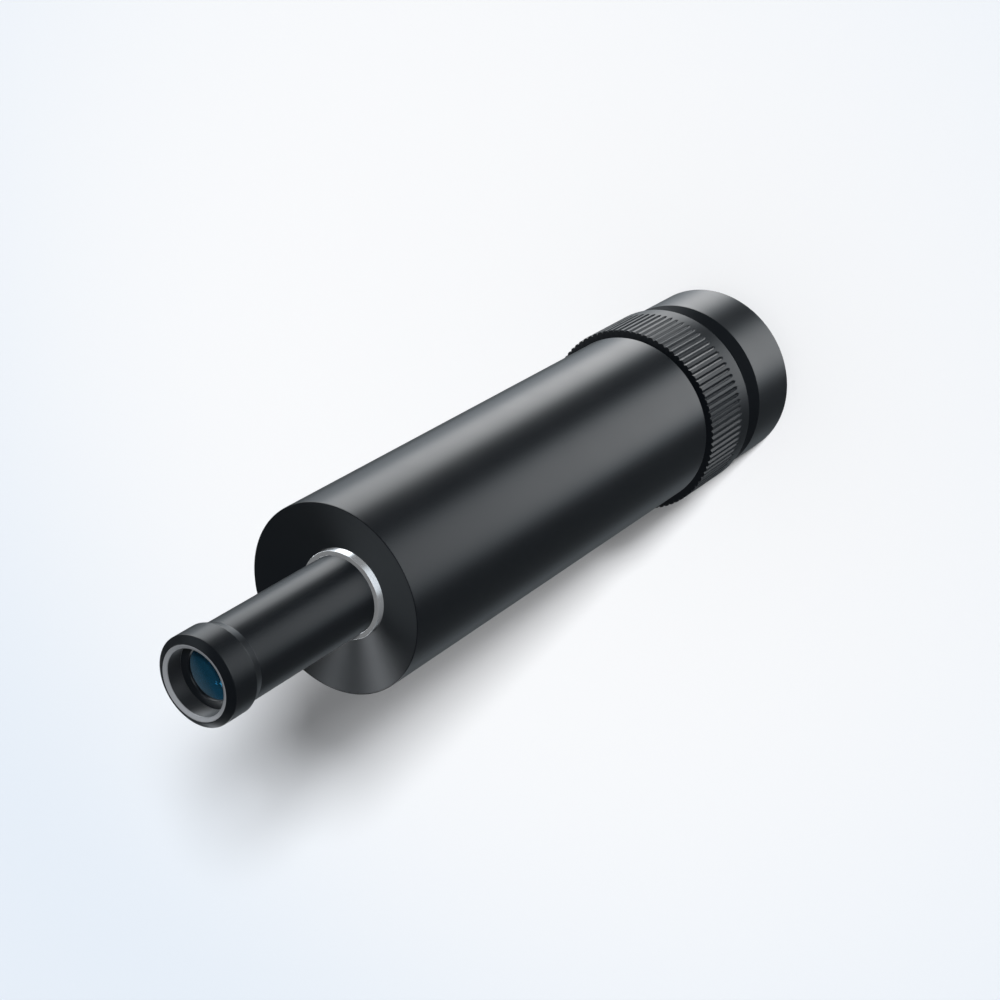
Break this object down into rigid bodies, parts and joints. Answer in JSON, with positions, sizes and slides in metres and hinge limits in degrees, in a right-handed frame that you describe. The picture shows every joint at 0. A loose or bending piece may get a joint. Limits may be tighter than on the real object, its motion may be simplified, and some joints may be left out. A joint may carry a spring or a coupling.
{
  "type": "telecentric lens",
  "caption": "Slender-nosed telecentric machine-vision lens with a fluted iris ring that closes a bladed iris, and a threaded camera mount at its foot.",
  "frame": {"origin": "centre of the end face of the camera thread, on which the lens stands", "axes": "+Z along the optical axis, from the camera thread towards the nose"},
  "size_m": [0.0326, 0.0326, 0.1456],
  "materials": {
    "satin_black": "satin black anodised",
    "matt_black": "matt black anodised",
    "bright_bezel": "turned bright edge",
    "bright_collar": "polished",
    "mount_ring": "semi-gloss black anodised",
    "steel": "ground",
    "blade_steel": "blackened",
    "thrust_ring": "low-friction plastic",
    "glass": "polished, coated",
    "blue_coated_glass": "polished, blue coating",
    "coated_rear_glass": "polished, violet coating"
  },
  "bodies": {
    "barrel": {"main_barrel": "satin_black", "nose_tube": "satin_black", "front_bezel": "bright_bezel", "front_retaining_ring": "matt_black", "front_lens_crown": "blue_coated_glass", "front_lens_flint": "glass", "nose_spacer": "matt_black", "nose_inner_lens": "glass", "nose_collar": "bright_collar", "collar_lock_ring": "matt_black", "nose_lock_nut": "matt_black", "front_spacer_tube": "matt_black", "front_baffle": "matt_black", "middle_lens_cell": "matt_black", "middle_lens_crown": "glass", "middle_lens_flint": "glass", "middle_retaining_ring": "matt_black", "rear_baffle": "matt_black", "rear_spacer_tube": "matt_black", "stack_clamp_ring": "matt_black", "iris_thrust_ring": "thrust_ring", "iris_base_plate": "matt_black", "ring_washer": "steel", "ring_retainer": "matt_black", "rear_lens_cell": "matt_black", "rear_lens_crown": "glass", "rear_lens_flint": "coated_rear_glass", "rear_retaining_ring": "matt_black", "rear_clamp_ring": "matt_black", "rear_barrel": "satin_black", "c_mount_ring": "mount_ring"},
    "fluted_ring": {"knurled_ring": "satin_black", "iris_cam_ring": "matt_black", "iris_drive_pin": "steel"},
    "iris_blade_1": {"iris_blade_1": "blade_steel"},
    "iris_blade_2": {"iris_blade_2": "blade_steel"},
    "iris_blade_3": {"iris_blade_3": "blade_steel"},
    "iris_blade_4": {"iris_blade_4": "blade_steel"},
    "iris_blade_5": {"iris_blade_5": "blade_steel"},
    "iris_blade_6": {"iris_blade_6": "blade_steel"}
  },
  "joints": [
    {"name": "iris_ring", "type": "hinge", "parent": "barrel", "child": "fluted_ring", "pos_m": [0, 0, 0.0255], "axis": [0, 0, 1], "range_deg": [0, 40]},
    {"name": "blade_1_pivot", "type": "hinge", "parent": "barrel", "child": "iris_blade_1", "pos_m": [0.01, 0, 0.0245], "axis": [0, 0, 1], "range_deg": [0, 20]},
    {"name": "blade_2_pivot", "type": "hinge", "parent": "barrel", "child": "iris_blade_2", "pos_m": [0.005, 0.00866, 0.0245], "axis": [0, 0, 1], "range_deg": [0, 20]},
    {"name": "blade_3_pivot", "type": "hinge", "parent": "barrel", "child": "iris_blade_3", "pos_m": [-0.005, 0.00866, 0.0245], "axis": [0, 0, 1], "range_deg": [0, 20]},
    {"name": "blade_4_pivot", "type": "hinge", "parent": "barrel", "child": "iris_blade_4", "pos_m": [-0.01, 0, 0.0245], "axis": [0, 0, 1], "range_deg": [0, 20]},
    {"name": "blade_5_pivot", "type": "hinge", "parent": "barrel", "child": "iris_blade_5", "pos_m": [-0.005, -0.00866, 0.0245], "axis": [0, 0, 1], "range_deg": [0, 20]},
    {"name": "blade_6_pivot", "type": "hinge", "parent": "barrel", "child": "iris_blade_6", "pos_m": [0.005, -0.00866, 0.0245], "axis": [0, 0, 1], "range_deg": [0, 20]}
  ],
  "couplings": [
    {"joint": "blade_1_pivot", "follows": "iris_ring", "ratio": 0.5},
    {"joint": "blade_2_pivot", "follows": "iris_ring", "ratio": 0.5},
    {"joint": "blade_3_pivot", "follows": "iris_ring", "ratio": 0.5},
    {"joint": "blade_4_pivot", "follows": "iris_ring", "ratio": 0.5},
    {"joint": "blade_5_pivot", "follows": "iris_ring", "ratio": 0.5},
    {"joint": "blade_6_pivot", "follows": "iris_ring", "ratio": 0.5}
  ]
}
